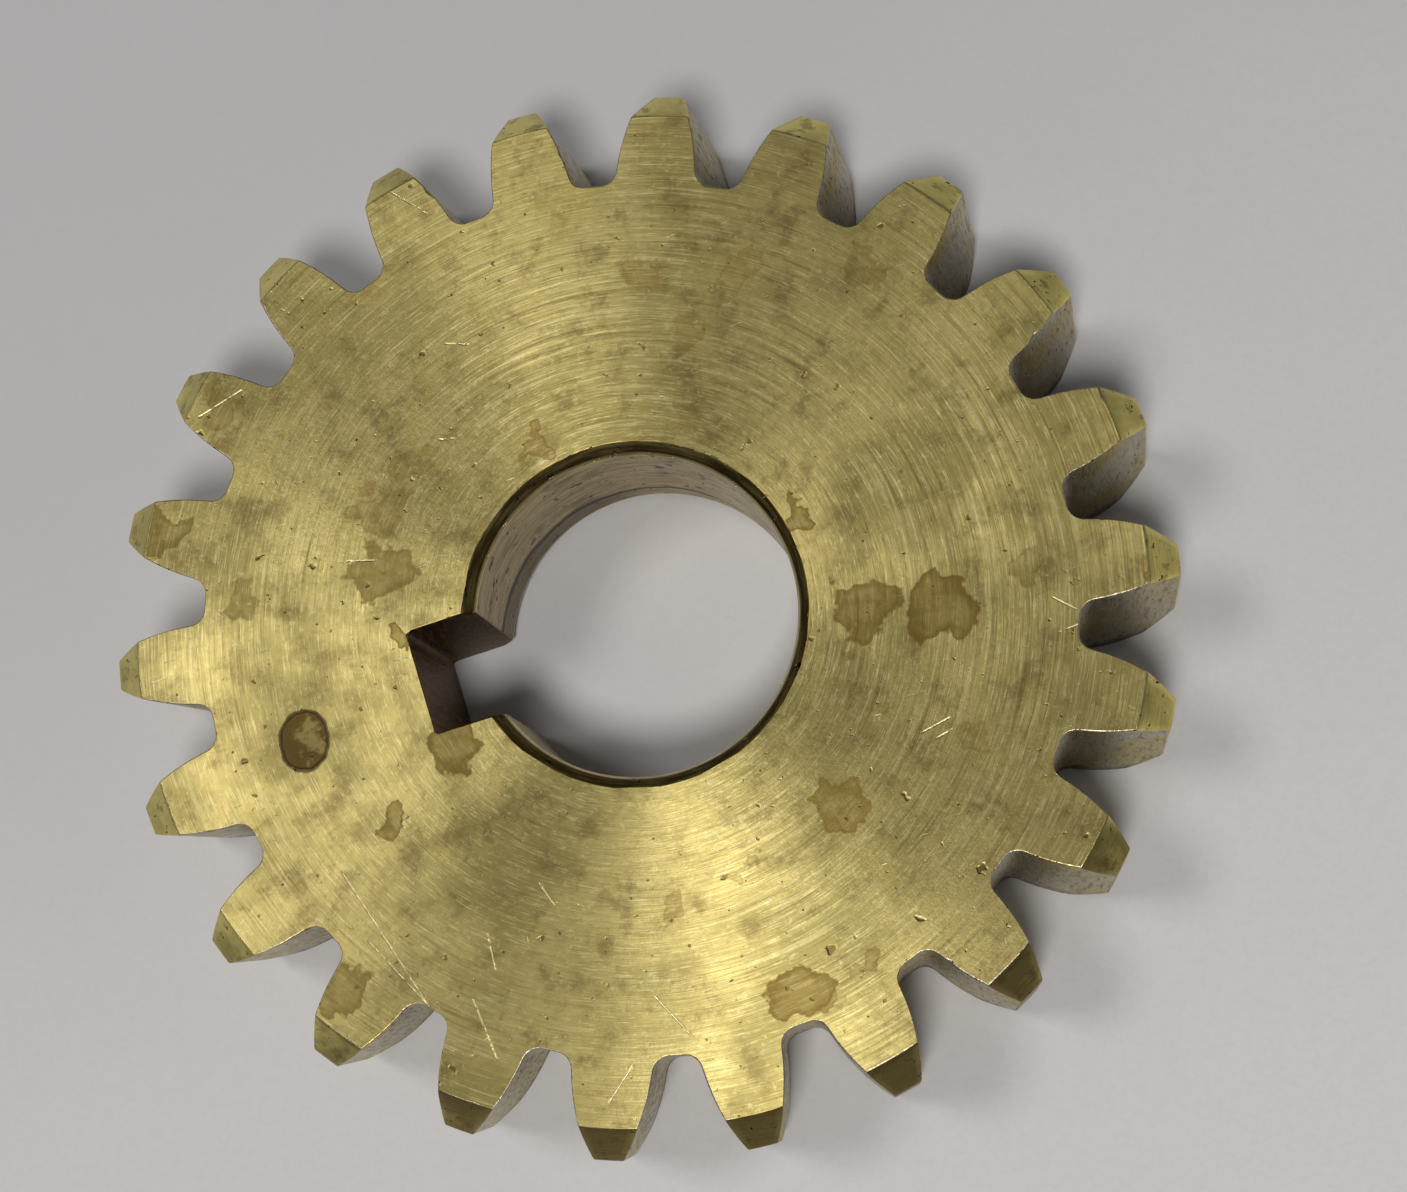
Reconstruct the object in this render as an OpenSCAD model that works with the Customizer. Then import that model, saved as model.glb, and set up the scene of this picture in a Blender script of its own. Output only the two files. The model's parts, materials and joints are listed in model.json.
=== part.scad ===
// Worm wheel: a one-piece bronze wheel with 22 right-hand teeth, a plain bore and a keyway.
// The wheel axis is +Z. The origin is on that axis, halfway through the face width.
// The keyway points along -X.

/* [Teeth] */
// Number of teeth
tooth_count = 22; // [18:1:40]
// Module of the teeth, mm
tooth_module = 2; // [1.5:0.25:3]
// Pitch diameter of the worm that drives the wheel, mm
worm_pitch_diameter = 24; // [20:1:36]
// Number of starts on the worm
worm_starts = 1; // [1:1:2]
// Tooth thickness on the pitch circle, in modules
tooth_thickness = 1.73; // [1.5:0.01:1.75]
// Height of the teeth outside the pitch circle, in modules
tip_height = 1.5; // [1:0.05:1.5]
// Depth of the tooth gaps inside the pitch circle, in modules
root_depth = 0.85; // [0.8:0.05:1.1]
// Angle between a flank and the centre line of its tooth, on the pitch circle, degrees
flank_angle = 10.3; // [8:0.1:13]
// Radius of the rounded flank, in modules
flank_curve = 5.25; // [5:0.25:12]
// Radius of the fillet at the bottom of a tooth gap, in modules
root_curve = 0.4; // [0.2:0.05:0.4]
// Angle of the first tooth from +X, halfway through the face width, degrees
first_tooth_angle = 3.8; // [0:0.1:16]

/* [Blank] */
// Face width of the wheel, mm
face_width = 9; // [6:0.5:14]
// Size of the 45 degree chamfer on both ends of the teeth, mm
tip_chamfer = 1.5; // [0.5:0.1:2]

/* [Bore] */
// Diameter of the bore, mm
bore_diameter = 15; // [10:0.5:16]
// Size of the 45 degree chamfer at both ends of the bore, mm
bore_chamfer = 0.55; // [0.2:0.05:1]
// Width of the keyway, mm
keyway_width = 5; // [3:0.5:6]
// Distance from the axis to the floor of the keyway, mm
keyway_reach = 10.4; // [9.2:0.1:11]

/* [Hidden] */
$fn = 96;
pitch_radius = tooth_module * tooth_count / 2;
outside_radius = pitch_radius + tip_height * tooth_module;
root_radius = pitch_radius - root_depth * tooth_module;
half_thickness = tooth_thickness * tooth_module / 2;
flank_radius = flank_curve * tooth_module;
root_fillet = root_curve * tooth_module;
bore_radius = bore_diameter / 2;
half_width = face_width / 2;
half_pitch_angle = 180 / tooth_count;
lead_angle = atan(worm_starts * tooth_module / worm_pitch_diameter);
// How far a cutting shape runs past the surface it cuts
overrun = 1;
// Length of flank over which its slope at the root is taken
slope_step = 0.1;
flank_steps = 10;
fillet_steps = 6;

// Centre of the flank arc, from the wheel axis along the tooth and across it
flank_centre = [
    pitch_radius - flank_radius * sin(flank_angle),
    half_thickness - flank_radius * cos(flank_angle)
];

// Half the thickness of a tooth at a distance from the wheel axis
function half_tooth(reach) =
    flank_centre[1] + sqrt(pow(flank_radius, 2) - pow(reach - flank_centre[0], 2));

// A flank point of the neighbouring tooth, seen from the centre line of the gap
function gap_side(reach) = [
    reach * cos(half_pitch_angle) + half_tooth(reach) * sin(half_pitch_angle),
    reach * sin(half_pitch_angle) - half_tooth(reach) * cos(half_pitch_angle)
];

// The flank near the root is taken as a straight line that the root fillet touches
root_side = gap_side(root_radius + root_fillet);
root_step = gap_side(root_radius + root_fillet + slope_step) - root_side;
root_slope = atan(root_step[1] / root_step[0]);
fillet_centre = [
    root_radius + root_fillet,
    root_side[1] + (root_radius + root_fillet - root_side[0]) * tan(root_slope)
        - root_fillet / cos(root_slope)
];

// One side of the gap, from its bottom out past the tip of the teeth
function gap_half() = concat(
    [for (i = [0:fillet_steps])
        let (turn = i / fillet_steps * (90 - root_slope))
        fillet_centre + root_fillet * [-cos(turn), sin(turn)]],
    [for (i = [1:flank_steps])
        gap_side(root_radius + root_fillet
            + i / flank_steps * (outside_radius + overrun - root_radius - root_fillet))]
);

function mirrored(points) =
    [for (i = [len(points) - 1:-1:0]) [points[i][0], -points[i][1]]];

// The space between two teeth: a straight cut across the rim at the lead angle
module tooth_gap() {
    translate([pitch_radius, 0, 0])
        rotate([-lead_angle, 0, 0])
            linear_extrude(height = face_width + 4 * overrun, center = true)
                translate([-pitch_radius, 0])
                    polygon(concat(gap_half(), mirrored(gap_half())));
}

// The turned blank, with the bore, both bore chamfers and both tip chamfers
module blank() {
    rotate_extrude()
        polygon([
            [bore_radius + bore_chamfer, -half_width],
            [outside_radius - tip_chamfer, -half_width],
            [outside_radius, -half_width + tip_chamfer],
            [outside_radius, half_width - tip_chamfer],
            [outside_radius - tip_chamfer, half_width],
            [bore_radius + bore_chamfer, half_width],
            [bore_radius, half_width - bore_chamfer],
            [bore_radius, -half_width + bore_chamfer]
        ]);
}

// The keyway: a square-cornered slot through the full face width
module keyway() {
    translate([-keyway_reach, -keyway_width / 2, -half_width - overrun])
        cube([keyway_reach, keyway_width, face_width + 2 * overrun]);
}

module worm_wheel() {
    color([0.72, 0.62, 0.33])
        difference() {
            blank();
            keyway();
            for (i = [0:tooth_count - 1])
                rotate([0, 0, first_tooth_angle + (2 * i + 1) * half_pitch_angle])
                    tooth_gap();
        }
}

worm_wheel();
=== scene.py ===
"""A bronze worm wheel lying on a pale floor: the looks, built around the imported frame.

Lengths are in millimetres until a mesh is made, and MM turns them into metres.
Angles count from +X towards +Y. They are typed in degrees and worked with in radians.
The face that is seen is the +Z face.
"""
import json
from math import asin, atan, atan2, cos, hypot, pi, radians, sin, sqrt, tan

import bpy
from mathutils import Matrix, Vector, geometry, noise

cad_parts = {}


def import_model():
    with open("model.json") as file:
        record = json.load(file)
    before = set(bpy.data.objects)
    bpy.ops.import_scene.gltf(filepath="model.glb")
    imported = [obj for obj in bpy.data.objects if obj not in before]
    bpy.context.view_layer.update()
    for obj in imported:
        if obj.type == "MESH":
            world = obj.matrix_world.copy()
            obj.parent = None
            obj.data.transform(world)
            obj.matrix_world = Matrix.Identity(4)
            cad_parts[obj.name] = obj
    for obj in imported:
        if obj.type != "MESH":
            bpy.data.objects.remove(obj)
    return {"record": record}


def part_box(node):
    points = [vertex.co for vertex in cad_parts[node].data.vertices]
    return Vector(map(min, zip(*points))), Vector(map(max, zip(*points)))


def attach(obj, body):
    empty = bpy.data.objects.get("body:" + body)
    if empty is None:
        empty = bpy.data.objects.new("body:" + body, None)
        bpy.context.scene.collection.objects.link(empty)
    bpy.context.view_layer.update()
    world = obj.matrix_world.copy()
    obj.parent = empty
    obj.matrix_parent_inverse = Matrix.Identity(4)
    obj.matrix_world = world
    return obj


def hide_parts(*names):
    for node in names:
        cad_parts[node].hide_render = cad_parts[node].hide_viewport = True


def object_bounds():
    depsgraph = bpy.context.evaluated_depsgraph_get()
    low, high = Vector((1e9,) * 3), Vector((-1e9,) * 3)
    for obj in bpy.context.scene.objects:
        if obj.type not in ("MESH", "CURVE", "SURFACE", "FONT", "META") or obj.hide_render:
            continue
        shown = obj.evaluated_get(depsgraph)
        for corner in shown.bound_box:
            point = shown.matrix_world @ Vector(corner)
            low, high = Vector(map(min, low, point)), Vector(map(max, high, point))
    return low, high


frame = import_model()
cad_low, cad_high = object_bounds()

MM = 0.001

# ---------------------------------------------------------------- sizes of the wheel
wheel_low, wheel_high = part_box("worm_wheel")
HALF_WIDTH = wheel_high.z / MM
OUTSIDE_RADIUS = round((wheel_high.x - wheel_low.x) / 2 / MM, 1)
BORE_RADIUS = next(m["dims"]["r_mm"] for m in frame["record"]["mounts"] if m["name"] == "bore")
TEETH = 22
MODULE = 2.0
PITCH_RADIUS = MODULE * TEETH / 2
WORM_PITCH_DIAMETER = 24.0
LEAD = atan(MODULE / WORM_PITCH_DIAMETER)
TOOTH_THICKNESS = 3.46
FLANK_ANGLE = radians(10.3)
FLANK_RADIUS = 10.5
ROOT_RADIUS = 20.3
ROOT_FILLET = 0.8
FIRST_TOOTH = 3.8
TIP_CHAMFER = 1.5
BORE_CHAMFER = 0.55
KEYWAY_HALF_WIDTH = 2.5
KEYWAY_REACH = 10.4
PITCH_ANGLE = 360 / TEETH

# How finely the outline of the teeth is stepped, and how far its tip corners are rounded
FILLET_STEPS = 6
FLANK_STEPS = 16
TIP_STEPS = 7
TIP_ROUND = 0.07
# Half the width of the rounded crease where a chamfer starts
TIP_CREASE = 0.06
BORE_CREASE = 0.05
# Length of flank over which its slope at the root is taken
SLOPE_STEP = 0.1
# How often the search for the end of a flank halves its range
HALVINGS = 30


# ---------------------------------------------------------------- outline of the teeth
FLANK_CENTRE = (
    PITCH_RADIUS - FLANK_RADIUS * sin(FLANK_ANGLE),
    TOOTH_THICKNESS / 2 - FLANK_RADIUS * cos(FLANK_ANGLE),
)


def half_tooth(reach):
    """Half the thickness of a tooth at a distance from the wheel axis."""
    return FLANK_CENTRE[1] + sqrt(FLANK_RADIUS ** 2 - (reach - FLANK_CENTRE[0]) ** 2)


def gap_side(reach):
    """A flank point of the next tooth, seen from the centre line of the gap."""
    half_pitch = radians(PITCH_ANGLE / 2)
    x = reach * cos(half_pitch) + half_tooth(reach) * sin(half_pitch)
    y = reach * sin(half_pitch) - half_tooth(reach) * cos(half_pitch)
    return x, y


def root_fillet():
    """Centre of the fillet in the bottom of a gap, and the angle it turns through."""
    reach = ROOT_RADIUS + ROOT_FILLET
    near = gap_side(reach)
    far = gap_side(reach + SLOPE_STEP)
    slope = atan2(far[1] - near[1], far[0] - near[0])
    height = near[1] + (reach - near[0]) * tan(slope) - ROOT_FILLET / cos(slope)
    return (reach, height), radians(90) - slope


def tilted(x, y, z):
    """Where a gap point lands at height z, because the gap is cut at the lead angle."""
    return x, y / cos(LEAD) + z * tan(LEAD)


def creased(over, crease):
    """A 45 degree chamfer's reach, from how far a place is past its start. The start is rounded."""
    if over <= -crease:
        return 0
    if over >= crease:
        return over
    return (over + crease) ** 2 / (4 * crease)


def tip_limit(z):
    """Radius of the blank at height z, with the tip chamfers and their rounded edge."""
    return OUTSIDE_RADIUS - creased(abs(z) - (HALF_WIDTH - TIP_CHAMFER), TIP_CREASE)


def flank_end(side, z):
    """Reach at which a flank meets the blank at height z."""
    low = ROOT_RADIUS + ROOT_FILLET
    high = OUTSIDE_RADIUS + 1
    for _ in range(HALVINGS):
        middle = (low + high) / 2
        x, y = gap_side(middle)
        if hypot(*tilted(x, side * y, z)) < tip_limit(z):
            low = middle
        else:
            high = middle
    return low


def side_points(side, z):
    """One side of a gap at height z, from the middle of its bottom out to the tip."""
    fillet, turn = root_fillet()
    points = []
    for i in range(FILLET_STEPS + 1):
        a = i / FILLET_STEPS * turn
        points.append((fillet[0] - ROOT_FILLET * cos(a), fillet[1] + ROOT_FILLET * sin(a)))
    start = ROOT_RADIUS + ROOT_FILLET
    end = flank_end(side, z) - TIP_ROUND
    for i in range(1, FLANK_STEPS + 1):
        points.append(gap_side(start + i / FLANK_STEPS * (end - start)))
    return [tilted(x, side * y, z) for x, y in points]


def polar(radius, angle):
    return radius * cos(angle), radius * sin(angle)


def turned(point, angle):
    c = cos(angle)
    s = sin(angle)
    return point[0] * c - point[1] * s, point[0] * s + point[1] * c


def outer_ring(z):
    """The outline of the teeth at height z, as a closed ring of points."""
    ring = []
    left = side_points(-1, z)
    right = side_points(1, z)
    radius = tip_limit(z)
    start = atan2(right[-1][1], right[-1][0])
    end = atan2(left[-1][1], left[-1][0]) + radians(PITCH_ANGLE)
    margin = TIP_ROUND / radius
    for j in range(TEETH):
        middle = radians(FIRST_TOOTH + (j + 0.5) * PITCH_ANGLE)
        ring += [turned(p, middle) for p in reversed(left)]
        ring += [turned(p, middle) for p in right[1:]]
        for i in range(TIP_STEPS):
            a = start + margin + i / (TIP_STEPS - 1) * (end - start - 2 * margin)
            ring.append(polar(radius, middle + a))
    return ring


# ---------------------------------------------------------------- outline of the bore
BORE_STEPS = 220
WALL_STEPS = 10
FLOOR_STEPS = 14
KEYWAY_FILLET = 0.12
# Size of the corner that is left out where the keyway meets the bore
KEYWAY_EDGE = 0.06


def bore_limit(z):
    """Radius of the bore at height z, with its chamfers and their rounded edge."""
    return BORE_RADIUS + creased(abs(z) - (HALF_WIDTH - BORE_CHAMFER), BORE_CREASE)


def inner_ring(z):
    """The bore and the keyway at height z, as a closed ring of points."""
    radius = bore_limit(z)
    corner = asin(KEYWAY_HALF_WIDTH / radius)
    margin = KEYWAY_EDGE / radius
    ring = []
    for i in range(BORE_STEPS + 1):
        a = -pi + corner + margin + i / BORE_STEPS * 2 * (pi - corner - margin)
        ring.append(polar(radius, a))
    mouth = -radius * cos(corner) - KEYWAY_EDGE
    wall = []
    for i in range(WALL_STEPS + 1):
        x = mouth + i / WALL_STEPS * (-KEYWAY_REACH + KEYWAY_FILLET - mouth)
        wall.append((x, KEYWAY_HALF_WIDTH))
    floor = []
    span = KEYWAY_HALF_WIDTH - KEYWAY_FILLET
    for i in range(FLOOR_STEPS + 1):
        floor.append((-KEYWAY_REACH, span - i / FLOOR_STEPS * 2 * span))
    ring += wall + floor
    ring += [(x, -y) for x, y in reversed(wall)]
    return ring


# ---------------------------------------------------------------- mesh
EDGE_ROUND = 0.07
EDGE_BAND = 0.3
EDGE_CURVE = ((1.0, 0.0), (0.6, 0.08), (0.3, 0.3), (0.08, 0.6), (0.0, 1.0))
LAYER_GAP = 0.28
# How far the start of a chamfer stays clear of the evenly spaced layers
CREASE_CLEAR = 0.15
# How far apart the two faces lie in the noise that wears their edges
FACES_APART = 40
NICK_LEVEL = 0.42
NICK_SIZE = 0.35


def outward(ring):
    """Unit normals of a closed ring, pointing away from its inside."""
    normals = []
    count = len(ring)
    for i in range(count):
        before = ring[i - 1]
        after = ring[(i + 1) % count]
        x = after[1] - before[1]
        y = before[0] - after[0]
        length = hypot(x, y)
        normals.append((x / length, y / length))
    return normals


def edge_wear(point, side):
    """How far an edge is rounded at a place: mostly a hair, with a nick here and there."""
    place = Vector((point[0], point[1], FACES_APART * side))
    soft = noise.noise(place * 0.35)
    nick = max(0, noise.noise(place * 1.3 + Vector((7, 3, 0))) - NICK_LEVEL)
    return EDGE_ROUND * (0.8 + 0.6 * soft) + NICK_SIZE * nick


def layer_heights():
    """Heights of the rings between the two rounded end edges."""
    rows = []
    top = HALF_WIDTH - EDGE_BAND
    count = round(2 * top / LAYER_GAP)
    edge = HALF_WIDTH - TIP_CHAMFER
    for i in range(count + 1):
        z = top - i / count * 2 * top
        if abs(abs(z) - edge) > CREASE_CLEAR:
            rows.append(z)
    for sign in (-1, 1):
        for step in (-TIP_CREASE, 0, TIP_CREASE):
            rows.append(sign * (edge + step))
    return sorted(rows, reverse=True)


def end_rows(ring_at, side, sign):
    """The rounded edge between an end face and a wall: rings from the face down the wall."""
    outline = ring_at(side * HALF_WIDTH)
    inner = ring_at(side * (HALF_WIDTH - EDGE_BAND))
    normals = outward(outline)
    rows = []
    for inset, drop in EDGE_CURVE:
        row = []
        for point, below, normal in zip(outline, inner, normals):
            wear = edge_wear(point, side)
            down = drop * wear / EDGE_BAND
            x = point[0] + (below[0] - point[0]) * down - sign * normal[0] * inset * wear
            y = point[1] + (below[1] - point[1]) * down - sign * normal[1] * inset * wear
            row.append((x, y, side * (HALF_WIDTH - drop * wear)))
        rows.append(row)
    return rows


def wall_rings(ring_at, sign):
    """Rings of a wall from top to bottom. sign is 1 for the teeth and -1 for the bore."""
    rings = end_rows(ring_at, 1, sign)
    for z in layer_heights():
        rings.append([(x, y, z) for x, y in ring_at(z)])
    rings += reversed(end_rows(ring_at, -1, sign))
    return rings


# A shallow smooth dent in the seen face: its middle, its half sizes, how it is turned, its depth
DENT_PLACE = (-16.38, -0.86)
DENT_SIZE = (1.15, 1.45)
DENT_TURN = -17.7
DENT_DEPTH = 0.07
# The rings of points in the dent: the last one lies a step outside it
DENT_RINGS = 8
DENT_RING_STEPS = 40
DENT_CLEAR = 1.9

# Distance between the points spread over a face, and from them to its edges
FACE_STEP = 0.6
FACE_MARGIN = 0.3
BORE_MARGIN = 0.5


def dent_height(x, y, side):
    """Height of an end face at a place."""
    right, up = turned((x - DENT_PLACE[0], y - DENT_PLACE[1]), radians(-DENT_TURN))
    away = hypot(right / DENT_SIZE[0], up / DENT_SIZE[1])
    if side < 0 or away >= 1:
        return side * HALF_WIDTH
    return HALF_WIDTH - DENT_DEPTH * (1 - away ** 2) ** 2


def dent_points():
    """Points on the rings of the dent."""
    points = []
    for ring in range(1, DENT_RINGS + 1):
        for i in range(DENT_RING_STEPS):
            x, y = polar(ring / (DENT_RINGS - 1), 2 * pi * i / DENT_RING_STEPS)
            x, y = turned((x * DENT_SIZE[0], y * DENT_SIZE[1]), radians(DENT_TURN))
            points.append((x + DENT_PLACE[0], y + DENT_PLACE[1]))
    return points


def in_opening(x, y):
    """True inside the bore or the keyway."""
    slot = -KEYWAY_REACH < x < 0 and abs(y) < KEYWAY_HALF_WIDTH
    return slot or hypot(x, y) < BORE_RADIUS + BORE_CHAMFER


def face_points():
    """Points spread over an end face, between the bore and the roots of the teeth."""
    points = []
    radius = BORE_RADIUS + BORE_CHAMFER + BORE_MARGIN
    while radius < ROOT_RADIUS - FACE_MARGIN:
        steps = round(2 * pi * radius / FACE_STEP)
        for i in range(steps):
            x, y = polar(radius, 2 * pi * (i + 0.5) / steps)
            beside = abs(y) > KEYWAY_HALF_WIDTH + FACE_MARGIN
            clear = x > 0 or beside or x < -KEYWAY_REACH - FACE_MARGIN
            if clear and hypot(x - DENT_PLACE[0], y - DENT_PLACE[1]) > DENT_CLEAR:
                points.append((x, y))
        radius += FACE_STEP
    return points


# What the triangulation is asked for: the faces inside the outlines, and how near points may lie
INSIDE_FACES = 1
SAME_POINT = 1e-7


def cap_triangles(outer, inner, extra):
    """Triangles of an end face, as index triples into outer + inner + extra."""
    points = [Vector(p[:2]) for p in outer + inner + extra]
    count = len(outer)
    edges = [(i, (i + 1) % count) for i in range(count)]
    edges += [(count + i, count + (i + 1) % len(inner)) for i in range(len(inner))]
    made = geometry.delaunay_2d_cdt(points, edges, [], INSIDE_FACES, SAME_POINT)
    found, _, faces, origins, _, _ = made
    kept = []
    for face in faces:
        x = sum(found[i].x for i in face) / 3
        y = sum(found[i].y for i in face) / 3
        if not in_opening(x, y):
            kept.append([origins[i][0] for i in face])
    return kept


# The material slots of the wheel, in the order of its list of materials
FACE, TIP, FLANK, BORE, KEYWAY = range(5)
# How far a place may lie from a surface and still count as on it
ON_SURFACE = 0.04
IN_KEYWAY = 0.1


class Builder:
    """Collects the points and faces of one mesh, and the material of each face."""

    def __init__(self):
        self.points = []
        self.faces = []
        self.materials = []

    def add(self, points):
        start = len(self.points)
        self.points += points
        return list(range(start, start + len(points)))

    def face(self, corners, material):
        self.faces.append(corners)
        self.materials.append(material)

    def wall(self, rings, flip, material_at):
        rows = [self.add(ring) for ring in rings]
        count = len(rings[0])
        for upper, lower in zip(rows, rows[1:]):
            for i in range(count):
                j = (i + 1) % count
                corners = (upper[i], lower[i], lower[j], upper[j])
                if flip:
                    corners = corners[::-1]
                middle = sum((Vector(self.points[c]) for c in corners), Vector()) / 4
                self.face(corners, material_at(middle))
        return rows

    def is_round(self, index):
        """True for every face that isn't part of a flat end."""
        heights = {self.points[corner][2] for corner in self.faces[index]}
        return self.materials[index] != FACE or len(heights) > 1

    def mesh(self, name, materials):
        mesh = bpy.data.meshes.new(name)
        scaled = [(x * MM, y * MM, z * MM) for x, y, z in self.points]
        mesh.from_pydata(scaled, [], self.faces)
        for material in materials:
            mesh.materials.append(material)
        mesh.polygons.foreach_set("material_index", self.materials)
        mesh.polygons.foreach_set("use_smooth", [self.is_round(i) for i in range(len(self.faces))])
        mesh.update()
        return mesh


def rim_material(middle):
    """Tip chamfers and tips are turned, and everything between the teeth is cut."""
    radius = hypot(middle.x, middle.y)
    if radius > tip_limit(middle.z) - ON_SURFACE:
        return TIP
    return FLANK


def bore_material(middle):
    """The keyway is everything beyond the bore on the -X side."""
    beyond = hypot(middle.x, middle.y) > bore_limit(middle.z) + IN_KEYWAY
    if beyond and middle.x < 0 and abs(middle.y) < KEYWAY_HALF_WIDTH + ON_SURFACE:
        return KEYWAY
    return BORE


def wheel_mesh(materials):
    build = Builder()
    outer = wall_rings(outer_ring, 1)
    inner = wall_rings(inner_ring, -1)
    outer_rows = build.wall(outer, False, rim_material)
    inner_rows = build.wall(inner, True, bore_material)
    spread = face_points() + dent_points()
    for row, side in ((0, 1), (-1, -1)):
        extra = [(x, y, dent_height(x, y, side)) for x, y in spread]
        indices = outer_rows[row] + inner_rows[row] + build.add(extra)
        for corners in cap_triangles(outer[row], inner[row], extra):
            ordered = [indices[i] for i in corners]
            build.face(ordered if side == 1 else ordered[::-1], FACE)
    return build.mesh("worm_wheel_looks", materials)


# ---------------------------------------------------------------- materials
# Turns the long axis of the highlights across the grooves
QUARTER_TURN = 0.25


class Graph:
    """A material's node tree, with short calls for the nodes that the bronze needs."""

    def __init__(self, name):
        self.material = bpy.data.materials.new(name)
        self.material.use_nodes = True
        self.tree = self.material.node_tree
        self.shader = self.tree.nodes["Principled BSDF"]
        place = self.node("ShaderNodeTexCoord").outputs["Object"]
        self.place = self.vector("SCALE", place, scale=1 / MM)
        split = self.node("ShaderNodeSeparateXYZ")
        self.feed(split.inputs[0], self.place)
        self.x, self.y, self.z = split.outputs
        flat = self.combine(self.x, self.y, 0.0)
        self.radius = self.vector("LENGTH", flat)
        self.around = self.vector("NORMALIZE", flat)

    def node(self, kind, **settings):
        made = self.tree.nodes.new(kind)
        for key, value in settings.items():
            setattr(made, key, value)
        return made

    def feed(self, socket, value):
        if isinstance(value, bpy.types.NodeSocket):
            self.tree.links.new(value, socket)
        elif isinstance(value, tuple) and len(value) == 3 and socket.type == "RGBA":
            socket.default_value = (*value, 1)
        else:
            socket.default_value = value

    def math(self, operation, *values):
        made = self.node("ShaderNodeMath", operation=operation)
        for socket, value in zip(made.inputs, values):
            self.feed(socket, value)
        return made.outputs[0]

    def plus(self, first, second):
        return self.math("ADD", first, second)

    def minus(self, first, second):
        return self.math("SUBTRACT", first, second)

    def times(self, first, second):
        return self.math("MULTIPLY", first, second)

    def swing(self, value, amount):
        """A noise value moved so that it swings about zero, then scaled."""
        return self.times(self.minus(value, 0.5), amount)

    def vector(self, operation, *values, scale=None):
        made = self.node("ShaderNodeVectorMath", operation=operation)
        for socket, value in zip(made.inputs, values):
            self.feed(socket, value)
        if scale is not None:
            self.feed(made.inputs["Scale"], scale)
        return made.outputs["Value" if operation in ("LENGTH", "DOT_PRODUCT") else "Vector"]

    def combine(self, x, y, z):
        made = self.node("ShaderNodeCombineXYZ")
        for socket, value in zip(made.inputs, (x, y, z)):
            self.feed(socket, value)
        return made.outputs[0]

    def round_lines(self, height, side):
        """Coordinates for lines that run round a wall, from the scales of height and sides."""
        sides = self.times(self.x, side), self.times(self.y, side)
        return self.combine(self.times(self.z, height), *sides)

    def upright_lines(self, side):
        """Coordinates for lines that run from face to face of the wheel."""
        return self.combine(self.times(self.x, side), self.times(self.y, side), self.z)

    def noise_node(self, place, scale, detail, roughness):
        made = self.node("ShaderNodeTexNoise")
        self.feed(made.inputs["Vector"], place)
        self.feed(made.inputs["Scale"], scale)
        self.feed(made.inputs["Detail"], detail)
        self.feed(made.inputs["Roughness"], roughness)
        return made

    def noise(self, place, scale, detail=2.0, roughness=0.5):
        return self.noise_node(place, scale, detail, roughness).outputs["Fac"]

    def step(self, value, low, high, start=0.0, end=1.0):
        """A smooth change from start to end while value goes from low to high."""
        made = self.node("ShaderNodeMapRange", interpolation_type="SMOOTHSTEP")
        for socket, number in zip(made.inputs, (value, low, high, start, end)):
            self.feed(socket, number)
        return made.outputs["Result"]

    def blend(self, factor, low, high):
        made = self.node("ShaderNodeMix", data_type="RGBA")
        self.feed(made.inputs["Factor"], factor)
        self.feed(made.inputs["A"], low)
        self.feed(made.inputs["B"], high)
        return made.outputs["Result"]

    def most(self, values):
        found = values[0]
        for value in values[1:]:
            found = self.math("MAXIMUM", found, value)
        return found

    def bump(self, height, depth):
        """Sets the shader's normal. height is from 0 to 1, and depth in millimetres."""
        made = self.node("ShaderNodeBump")
        self.feed(made.inputs["Height"], height)
        self.feed(made.inputs["Distance"], depth * MM)
        self.feed(made.inputs["Strength"], 1.0)
        self.feed(self.shader.inputs["Normal"], made.outputs[0])

    def finish(self, color, roughness, metallic=1.0, anisotropic=0.0):
        self.feed(self.shader.inputs["Base Color"], color)
        self.feed(self.shader.inputs["Roughness"], roughness)
        self.shader.inputs["Metallic"].default_value = metallic
        if anisotropic:
            self.shader.inputs["Anisotropic"].default_value = anisotropic
            self.shader.inputs["Anisotropic Rotation"].default_value = QUARTER_TURN
            tangent = self.node("ShaderNodeTangent", direction_type="RADIAL", axis="Z")
            self.feed(self.shader.inputs["Tangent"], tangent.outputs[0])
        return self.material


def ring_place(g, radial, circular):
    """Coordinates for marks that run round the wheel: fine across, long along."""
    across = g.times(g.radius, radial)
    along = g.vector("SCALE", g.around, scale=circular)
    return g.vector("ADD", along, g.combine(0.0, 0.0, across))


BRONZE = (0.44, 0.36, 0.133)
BRIGHT = (0.70, 0.62, 0.31)
OLIVE = (0.27, 0.225, 0.078)
BROWN = (0.125, 0.082, 0.028)
STAIN = (0.19, 0.12, 0.022)
DARK = (0.022, 0.014, 0.007)
GREY = (0.47, 0.42, 0.31)
SCRATCHED = (0.85, 0.78, 0.45)
DENT_BROWN = (0.15, 0.10, 0.03)
TIP_BRONZE = (0.86, 0.74, 0.23)
BORE_BRONZE = (0.46, 0.37, 0.19)
BORE_BROWN = (0.32, 0.24, 0.10)
EDGE_HIGHLIGHT = (0.95, 0.85, 0.5)
KEYWAY_DARK_TONE = (0.085, 0.046, 0.016)
KEYWAY_LIGHT_TONE = (0.24, 0.145, 0.05)
FLOOR_LIGHT = (0.63, 0.62, 0.62)
FLOOR_SHADE = (0.49, 0.485, 0.49)
FLOOR_GRAIN = (0.46, 0.45, 0.45)

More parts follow.
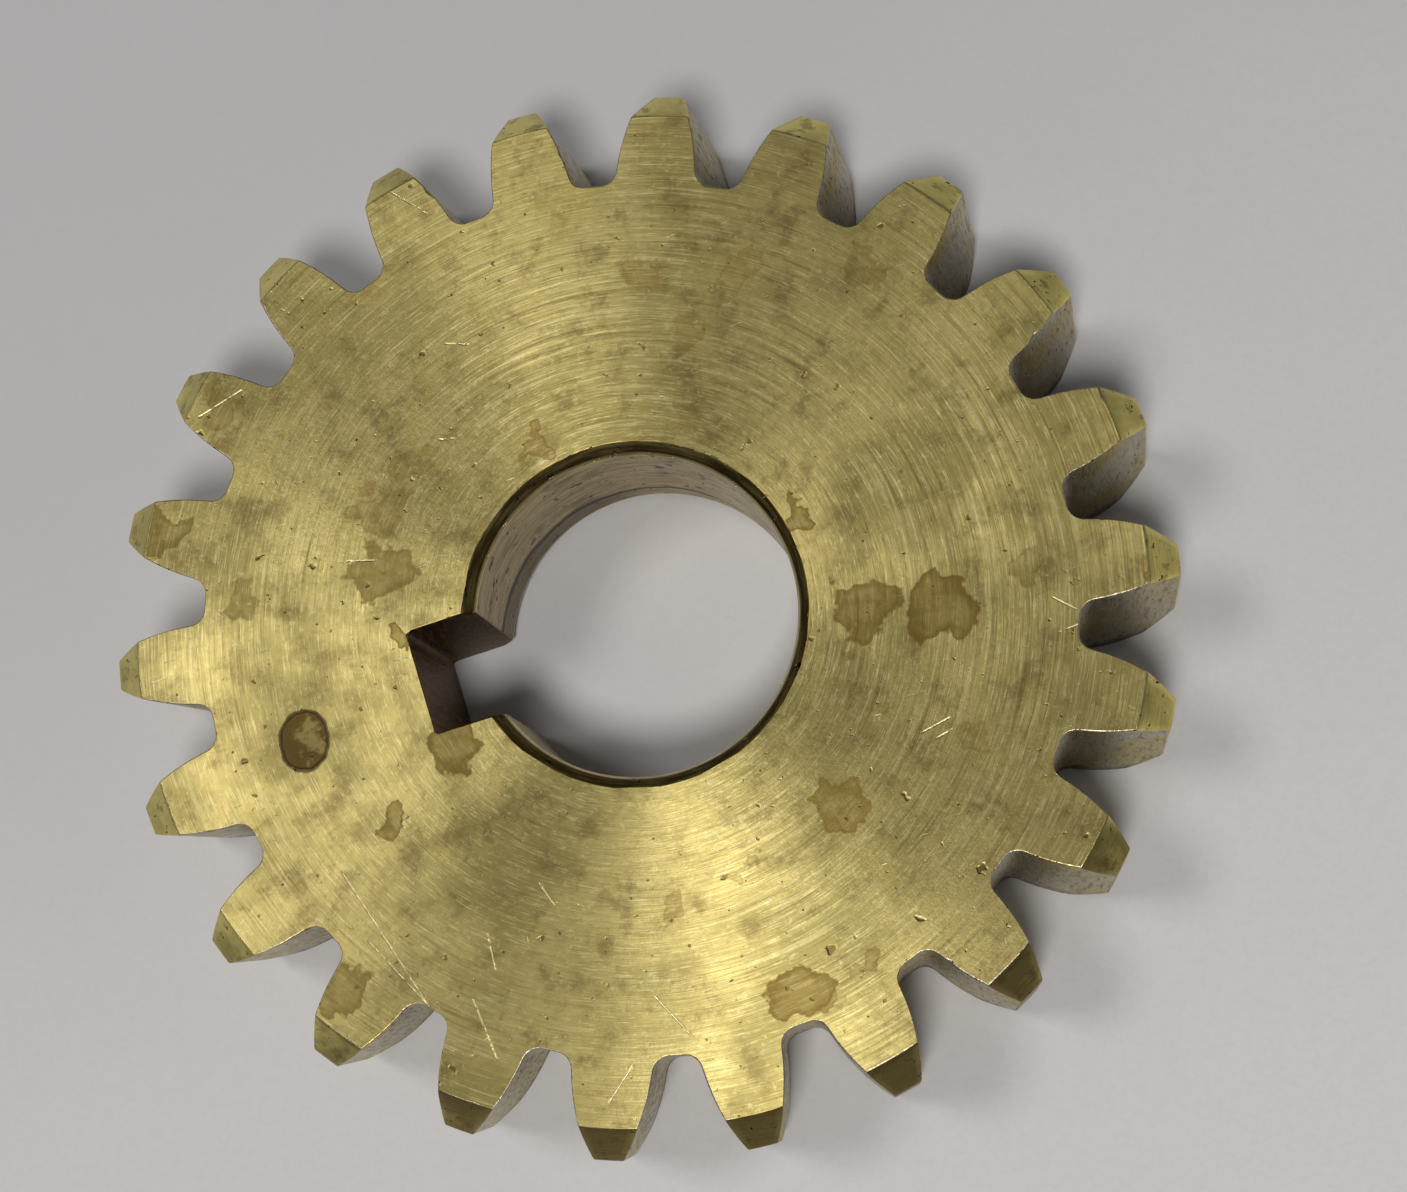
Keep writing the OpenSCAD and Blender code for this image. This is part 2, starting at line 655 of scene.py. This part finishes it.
# Stains on the seen face: distance from the axis, angle, size and strength
STAINS = (
    (22.6, 152, 1.3, 0.7), (22.1, 135, 1.0, 0.5), (21.9, 215, 1.5, 0.8), (12.3, 153, 1.7, 0.7),
    (11.05, 167, 0.6, 0.9), (10.3, 199, 1.5, 0.9), (9.2, 101.5, 0.8, 0.8), (16.0, 71, 1.2, 0.6),
    (16.7, 56, 1.2, 0.6), (8.4, 13.5, 0.9, 0.9), (10.4, -17, 1.8, 0.9), (13.9, -17, 1.9, 1.0),
    (12.7, -61, 1.3, 0.9), (12.8, -80, 0.7, 0.5), (19.1, -84, 1.7, 0.9), (19.3, -73, 0.7, 0.6),
    (20.2, -81.5, 0.6, 0.6), (24.5, -13, 1.0, 0.9), (14.6, 203.5, 0.8, 0.8), (11.7, 114, 0.6, 0.5),
    (16.5, -38, 1.0, 0.5), (19.2, 39, 1.2, 0.5), (13.75, -99, 0.8, 0.5), (13.0, -87, 0.6, 0.5),
    (12.9, 140, 1.5, 0.5), (18.5, 160, 1.1, 0.4), (21.2, 112, 1.4, 0.5), (19.8, 84, 1.3, 0.4),
    (13.4, 62, 1.0, 0.5), (9.4, 58, 0.9, 0.4), (17.8, -12, 1.0, 0.5), (12.6, 128, 1.3, 0.5),
)


def stains(g):
    """How stained the face is, from 0 to 1. The spots have ragged edges and a darker rim."""
    warp = g.noise_node(g.place, 0.6, 3.0, 0.55)
    shift = g.vector("SUBTRACT", warp.outputs["Color"], (0.5, 0.5, 0.5))
    ragged = g.vector("ADD", g.place, g.vector("SCALE", shift, scale=3.6))
    spots = []
    for reach, angle, size, strength in STAINS:
        x, y = polar(reach, radians(angle))
        away = g.vector("LENGTH", g.vector("SUBTRACT", ragged, g.combine(x, y, HALF_WIDTH)))
        inside = g.step(away, size * 0.76, size * 0.88, strength, 0.0)
        spots.append(g.times(inside, g.step(away, size * 0.35, size * 0.8, 0.55, 1.0)))
    return g.most(spots)


# Scratches on the seen face, each from one end to the other
SCRATCHES = (
    (17.9, 203, 20.2, 225), (19.3, 213, 20.2, 225), (19.0, 230, 21.3, 236), (20.6, 253, 22.4, 250),
    (15.0, 104, 15.8, 108), (12.3, 150, 14.3, 152), (14.3, -41, 15.4, -36), (15.0, -41, 15.6, -38),
    (13.0, -127, 13.9, -122), (19.3, -21, 21.4, -18.5), (19.0, -16, 21.0, -19), (21.5, 100, 23.6, 103),
    (17.5, -104, 19.6, -99), (11.9, 118, 12.5, 121), (16.0, -132, 17.6, -128), (21.6, 132, 23.0, 138),
)


def scratches(g):
    """Where a scratch has cut bright metal."""
    marks = []
    for near, near_angle, far, far_angle in SCRATCHES:
        a = Vector((*polar(near, radians(near_angle)), 0))
        b = Vector((*polar(far, radians(far_angle)), 0))
        along = (b - a).normalized()
        length = (b - a).length
        start = g.vector("SUBTRACT", g.place, tuple(a))
        u = g.vector("DOT_PRODUCT", start, (along.x, along.y, 0))
        v = g.math("ABSOLUTE", g.vector("DOT_PRODUCT", start, (-along.y, along.x, 0)))
        thin = g.step(v, 0.015, 0.055, 1.0, 0.0)
        inside = g.times(g.step(u, 0, 0.3), g.step(u, length - 0.3, length, 1.0, 0.0))
        marks.append(g.times(thin, inside))
    patchy = g.step(g.noise(g.place, 2.2, 3.0), 0.35, 0.55)
    return g.times(g.most(marks), patchy)


def dent_place(g):
    """Distance from the middle of the dent, as a share of its size, and the way across it."""
    x, y = DENT_PLACE
    start = g.vector("SUBTRACT", g.place, (x, y, HALF_WIDTH))
    c, s = polar(1, radians(DENT_TURN))
    across = g.vector("DOT_PRODUCT", start, (c, s, 0))
    along = g.vector("DOT_PRODUCT", start, (-s, c, 0))
    across = g.math("DIVIDE", across, DENT_SIZE[0])
    along = g.math("DIVIDE", along, DENT_SIZE[1])
    ragged = g.swing(g.noise(g.place, 1.2, 3.0), 0.3)
    away = g.vector("LENGTH", g.combine(across, along, 0.0))
    away = g.plus(g.plus(away, ragged), g.step(g.z, 4.0, 3.0, 0.0, 9.0))
    return away, across, along


def stray_scratches(g, angle, seed):
    """Short thin marks that all run one way, scattered over the face."""
    turn = g.node("ShaderNodeMapping")
    g.feed(turn.inputs["Vector"], g.place)
    turn.inputs["Rotation"].default_value = (0, 0, radians(angle))
    turn.inputs["Location"].default_value = (seed * 17.3, seed * 9.1, 0)
    turn.inputs["Scale"].default_value = (0.55, 9.0, 0.2)
    return g.step(g.noise(turn.outputs[0], 1.0, 1.0), 0.775, 0.81)


# Width of one turn of the lathe tool's feed
TOOL_FEED = 0.55


def turned_grooves(g):
    """Marks that the lathe tool left: their heights, the finest lines and the middling ones."""
    coarse = g.noise(ring_place(g, 2.6, 2.2), 1.0, 2.0, 0.6)
    middle = g.noise(ring_place(g, 6.0, 5.0), 1.0, 3.0, 0.7)
    fine = g.noise(ring_place(g, 14.0, 14.0), 1.0, 2.0, 0.7)
    wobble = g.noise(ring_place(g, 0.5, 1.2), 1.0, 1.0)
    turns = g.plus(g.times(g.radius, 2 * pi / TOOL_FEED), g.times(wobble, 9.0))
    wave = g.times(g.math("SINE", turns), 0.5)
    strong = g.step(g.noise(g.place, 0.11, 2.0), 0.42, 0.62)
    total = g.times(coarse, 0.6)
    total = g.plus(total, g.times(middle, 0.55))
    total = g.plus(total, g.times(fine, 0.22))
    return g.plus(total, g.times(g.times(wave, strong), 0.22)), fine, middle


def pits(g, scale, least):
    """Small dark pits, from 0 to 1."""
    return g.step(g.noise(g.place, scale, 2.0, 0.6), least, least + 0.06)


# The ways in which the stray scratches run
STRAY_ANGLES = (35, 118, 160)


def bare_metal(g):
    """Where metal is scratched bright: the scratches with a place, and fainter stray ones."""
    stray = g.most([stray_scratches(g, angle, seed) for seed, angle in enumerate(STRAY_ANGLES, 1)])
    return g.math("MAXIMUM", scratches(g), g.times(stray, 0.5))


def tarnish(g, patches, fine, middle):
    """Olive clouds and lines over the bronze, with bright metal on the finest ridges."""
    mottle = g.noise(g.place, 1.1, 4.0, 0.65)
    color = g.blend(g.step(patches, 0.38, 0.66), BRONZE, OLIVE)
    color = g.blend(g.step(mottle, 0.5, 0.72, 0.0, 0.45), color, OLIVE)
    color = g.blend(g.step(middle, 0.50, 0.34, 0.0, 0.5), color, OLIVE)
    return g.blend(g.step(fine, 0.54, 0.68, 0.0, 0.4), color, BRIGHT)


def ring_marks(g, color, arcs, kept):
    """Brown and bright arcs, where they are kept."""
    color = g.blend(g.times(kept, g.step(arcs, 0.57, 0.66, 0.0, 0.4)), color, BROWN)
    return g.blend(g.times(kept, g.step(arcs, 0.44, 0.36, 0.0, 0.25)), color, BRIGHT)


def handling(g, color, rub):
    """Brown blotches, and the olive and bright grain of rubbed metal."""
    blotch = g.noise(g.place, 0.62, 5.0, 0.7)
    color = g.blend(g.step(blotch, 0.50, 0.68, 0.0, 0.5), color, BROWN)
    color = g.blend(g.step(rub, 0.54, 0.70, 0.0, 0.55), color, OLIVE)
    return g.blend(g.step(rub, 0.44, 0.32, 0.0, 0.25), color, BRIGHT)


def dented(g, color, dent, away, across, along):
    """The dent: brown with a golden smear near its middle, and a dark rim."""
    smear = g.swing(g.noise(g.place, 1.6, 4.0, 0.7), 3.0)
    off_centre = g.combine(g.minus(across, 0.3), g.minus(along, 0.1), 0.0)
    gold = g.step(g.plus(g.vector("LENGTH", off_centre), smear), 0.1, 0.7, 0.6, 0.0)
    color = g.blend(dent, color, g.blend(gold, DENT_BROWN, BRONZE))
    rim = g.step(g.math("ABSOLUTE", g.minus(away, 1.0)), 0.03, 0.1, 0.8, 0.0)
    return g.blend(rim, color, DARK)


def face_bronze():
    """The turned faces: fine rings, tarnish, stains, scratches and one shallow dent."""
    g = Graph("turned_face")
    rings, fine, middle = turned_grooves(g)
    arcs = g.noise(ring_place(g, 4.5, 2.4), 1.0, 3.0, 0.7)
    kept = g.step(g.noise(g.place, 0.1, 2.0), 0.42, 0.6, 0.2, 1.0)
    patches = g.noise(g.place, 0.16, 5.0, 0.62)
    rub = g.noise(g.place, 3.2, 4.0, 0.75)
    stained = stains(g)
    speck = g.most([pits(g, 2.2, 0.70), pits(g, 0.9, 0.70)])
    bare = bare_metal(g)
    away, across, along = dent_place(g)
    dent = g.step(away, 0.95, 1.0, 1.0, 0.0)

    color = tarnish(g, patches, fine, middle)
    color = ring_marks(g, color, arcs, kept)
    color = handling(g, color, rub)
    color = g.blend(g.times(stained, 0.8), color, STAIN)
    color = g.blend(g.times(speck, 0.75), color, BROWN)
    color = g.blend(g.times(bare, 0.7), color, SCRATCHED)
    color = dented(g, color, dent, away, across, along)

    height = g.times(rings, g.step(away, 0.85, 1.0))
    height = g.minus(height, g.times(g.times(arcs, kept), 0.9))
    height = g.minus(height, g.times(speck, 0.8))
    height = g.minus(height, g.times(bare, 0.8))
    g.bump(g.plus(height, g.times(rub, 0.3)), 0.018)

    dull = g.math("MAXIMUM", stained, dent)
    rough = g.plus(g.step(patches, 0.35, 0.7, 0.39, 0.47), g.times(dull, 0.14))
    return g.finish(color, rough, anisotropic=0.78)


# The side of the wheel where a painted dark reflection makes the tip chamfers brownest
DARK_REFLECTION_SIDE = -92


def tip_bronze():
    """The turned tips and tip chamfers, with patches of brown tarnish, and a painted dark reflection
    that browns them on one side of the wheel.
    """
    g = Graph("turned_tip")
    lines = g.noise(g.round_lines(14.0, 1.0), 1.0, 2.0, 0.6)
    patches = g.noise(g.place, 0.33, 4.0, 0.6)
    spots = g.step(g.noise(g.place, 1.0, 4.0, 0.7), 0.56, 0.66)
    # Painted dark reflection: the tips and chamfers on one side of the wheel turn brown, with a patchy
    # border
    side = g.vector("DOT_PRODUCT", g.around, (*polar(1, radians(DARK_REFLECTION_SIDE)), 0))
    side = g.plus(side, g.minus(patches, 0.5))
    speck = pits(g, 3.4, 0.66)
    color = g.blend(g.step(patches, 0.36, 0.62, 0.0, 0.4), TIP_BRONZE, OLIVE)
    color = g.blend(g.times(spots, 0.5), color, BROWN)
    color = g.blend(g.step(side, 0.3, 0.85, 0.0, 0.85), color, BROWN)
    color = g.blend(speck, color, DARK)
    g.bump(g.minus(lines, speck), 0.012)
    return g.finish(color, g.step(patches, 0.3, 0.7, 0.30, 0.45))


def flank_bronze():
    """Cut flanks: greyer, with pits, marks that run across the rim, and darker brown towards the bottom
    face.
    """
    g = Graph("cut_flank")
    streaks = g.noise(g.upright_lines(5.0), 0.9, 3.0, 0.6)
    patches = g.noise(g.place, 0.28, 4.0, 0.6)
    holes = g.most([pits(g, 3.0, 0.66), pits(g, 5.2, 0.66)])
    low = g.plus(g.z, g.swing(g.noise(g.place, 0.8, 3.0), 1.6))
    low_darkening = g.step(low, -HALF_WIDTH + 0.2, -HALF_WIDTH + 1.2, 0.85, 0.0)
    color = g.blend(g.step(patches, 0.42, 0.64), GREY, BRONZE)
    color = g.blend(g.step(streaks, 0.52, 0.74, 0.0, 0.7), color, BROWN)
    color = g.blend(holes, color, DARK)
    color = g.blend(low_darkening, color, BROWN)
    g.bump(g.minus(g.times(streaks, 0.7), holes), 0.04)
    return g.finish(color, g.step(streaks, 0.3, 0.7, 0.30, 0.5))


# Where the slanting dark line in the bore reaches half height, in degrees, and how far it climbs with
# each
DARK_LINE_MIDDLE = 285.0
DARK_LINE_SLOPE = 0.012


def bore_dark_line(g):
    """A slanting dark line on the bore wall, and how brown the wall is below it."""
    angle = g.times(g.math("ARCTAN2", g.y, g.x), 180 / pi)
    wander = g.swing(g.noise(g.place, 0.6, 3.0), 0.8)
    fall = g.times(g.minus(DARK_LINE_MIDDLE, angle), DARK_LINE_SLOPE)
    over = g.plus(g.plus(g.z, fall), wander)
    brown = g.times(g.step(over, -0.25, 0.0, 0.85, 0.0), g.step(angle, 70.0, 100.0))
    dark_line = g.times(g.step(g.math("ABSOLUTE", over), 0.08, 0.3), -1.0)
    return g.times(g.plus(dark_line, 1.0), g.step(angle, 30.0, 60.0)), brown


def bore_bronze():
    """The bore: a pitted wall with a slanting dark line and brown below it, and brown chamfers with a
    painted highlight along their edges.
    """
    g = Graph("bore_wall")
    lines = g.noise(g.round_lines(7.0, 0.5), 1.0, 3.0, 0.6)
    blotches = g.noise(g.place, 0.5, 4.0, 0.65)
    holes = g.most([pits(g, 1.6, 0.64), pits(g, 3.4, 0.66)])
    dark_line, brown = bore_dark_line(g)
    chamfer = g.step(g.minus(g.radius, BORE_RADIUS), 0.03, 0.09)
    # Painted highlight: a bright line along the edge where each bore chamfer starts
    below = g.minus(g.math("ABSOLUTE", g.z), HALF_WIDTH - BORE_CHAMFER)
    edge = g.step(g.math("ABSOLUTE", below), 0.05, 0.14, 0.9, 0.0)
    color = g.blend(g.step(lines, 0.4, 0.62), BORE_BRONZE, BORE_BROWN)
    color = g.blend(g.step(blotches, 0.5, 0.68, 0.0, 0.6), color, BROWN)
    color = g.blend(brown, color, BROWN)
    color = g.blend(g.times(dark_line, 0.95), color, DARK)
    color = g.blend(chamfer, color, g.blend(g.step(lines, 0.4, 0.65), BROWN, OLIVE))
    color = g.blend(holes, color, DARK)
    color = g.blend(edge, color, EDGE_HIGHLIGHT)
    g.bump(g.minus(g.minus(g.times(lines, 0.6), holes), dark_line), 0.04)
    return g.finish(color, g.step(lines, 0.3, 0.7, 0.28, 0.42))


def keyway_bronze():
    """The sawn keyway: very dark brown, with lighter streaks that run from face to face."""
    g = Graph("keyway_wall")
    streaks = g.noise(g.upright_lines(4.0), 1.0, 3.0, 0.6)
    color = g.blend(g.step(streaks, 0.4, 0.7), KEYWAY_DARK_TONE, KEYWAY_LIGHT_TONE)
    g.bump(streaks, 0.05)
    return g.finish(color, g.step(streaks, 0.3, 0.7, 0.4, 0.6))


# The way in which the floor gets darker, as painted shade
SHADE_WAY = 105


def floor_paint():
    """A pale surface with the faintest mottling, and painted shade that darkens it towards one side."""
    g = Graph("pale_floor")
    cloud = g.swing(g.noise(g.place, 0.02, 3.0), 40.0)
    # Painted shade: the floor colour darkens along one way across the floor, with a wavy border
    reach = g.vector("DOT_PRODUCT", g.place, (*polar(1, radians(SHADE_WAY)), 0))
    grain = g.noise(g.place, 3.0, 2.0)
    color = g.blend(g.step(g.plus(reach, cloud), -45, 45), FLOOR_LIGHT, FLOOR_SHADE)
    color = g.blend(g.step(grain, 0.4, 0.7, 0.0, 0.12), color, FLOOR_GRAIN)
    g.bump(grain, 0.01)
    return g.finish(color, 0.75, metallic=0.0)


# ---------------------------------------------------------------- stage
# Half the length of a side of the floor, in metres
FLOOR_REACH = 3.0


def floor():
    mesh = bpy.data.meshes.new("floor")
    z = cad_low.z
    corners = [(FLOOR_REACH * x, FLOOR_REACH * y, z) for x, y in ((-1, -1), (1, -1), (1, 1), (-1, 1))]
    mesh.from_pydata(corners, [], [(0, 1, 2, 3)])
    mesh.materials.append(floor_paint())
    thing = bpy.data.objects.new("floor", mesh)
    bpy.context.scene.collection.objects.link(thing)


def aimed(place, target, up):
    """A matrix at a place that looks at a target, with up upwards in its picture."""
    back = (place - target).normalized()
    right = up.cross(back).normalized()
    matrix = Matrix((right, back.cross(right), back)).transposed().to_4x4()
    matrix.translation = place
    return matrix


# The way that is upwards in the picture, and where the camera stands and looks
PICTURE_UP = 72.17
CAMERA_PLACE = Vector((12.06, -24.18, 111.88)) * MM
CAMERA_TARGET = Vector((5.125, -11.711, 4.5)) * MM
LENS = 61.4
LENS_SHIFT = (-0.08, 0.16)


def camera():
    """The camera at the photograph's viewing angle. Its up lies in the picture plane."""
    data = bpy.data.cameras.new("camera")
    data.sensor_width = 36
    data.lens = LENS
    data.shift_x, data.shift_y = LENS_SHIFT
    data.clip_start = 0.01
    thing = bpy.data.objects.new("camera", data)
    bpy.context.scene.collection.objects.link(thing)
    back = CAMERA_PLACE - CAMERA_TARGET
    x, y = polar(1, radians(PICTURE_UP))
    up = Vector((x, y, -(x * back.x + y * back.y) / back.z))
    thing.matrix_world = aimed(CAMERA_PLACE, CAMERA_TARGET, up.normalized())
    bpy.context.scene.camera = thing


LIGHT_COLOR = (1, 0.98, 0.95)


def area_light(name, picture_angle, height_angle, distance, size, power):
    """A soft light, from the way it comes in the picture and its angle above the floor."""
    data = bpy.data.lights.new(name, "AREA")
    data.shape = "DISK"
    data.size = size
    data.energy = power
    data.color = LIGHT_COLOR
    flat = radians(picture_angle - 90 + PICTURE_UP)
    high = radians(height_angle)
    place = Vector((cos(flat) * cos(high), sin(flat) * cos(high), sin(high))) * distance
    thing = bpy.data.objects.new(name, data)
    bpy.context.scene.collection.objects.link(thing)
    thing.matrix_world = aimed(place, Vector((0, 0, 0)), Vector((0, 0, 1)))


def world():
    """A faint even light from all sides."""
    light = bpy.data.worlds.new("studio")
    light.use_nodes = True
    background = light.node_tree.nodes["Background"]
    background.inputs["Color"].default_value = (0.9, 0.92, 1, 1)
    background.inputs["Strength"].default_value = 0.14
    bpy.context.scene.world = light
    bpy.context.scene.view_settings.view_transform = "Standard"


# ---------------------------------------------------------------- the scene
materials = [face_bronze(), tip_bronze(), flank_bronze(), bore_bronze(), keyway_bronze()]
wheel = bpy.data.objects.new("worm_wheel_looks", wheel_mesh(materials))
bpy.context.scene.collection.objects.link(wheel)
weighted = wheel.modifiers.new("flat_faces", "WEIGHTED_NORMAL")
weighted.weight = 80
weighted.keep_sharp = True
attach(wheel, "root")
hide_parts("worm_wheel")

floor()
camera()
area_light("left_light", picture_angle=170, height_angle=63, distance=0.6, size=0.18, power=0.9)
area_light("low_light", picture_angle=275, height_angle=68, distance=0.45, size=0.11, power=1.12)
world()
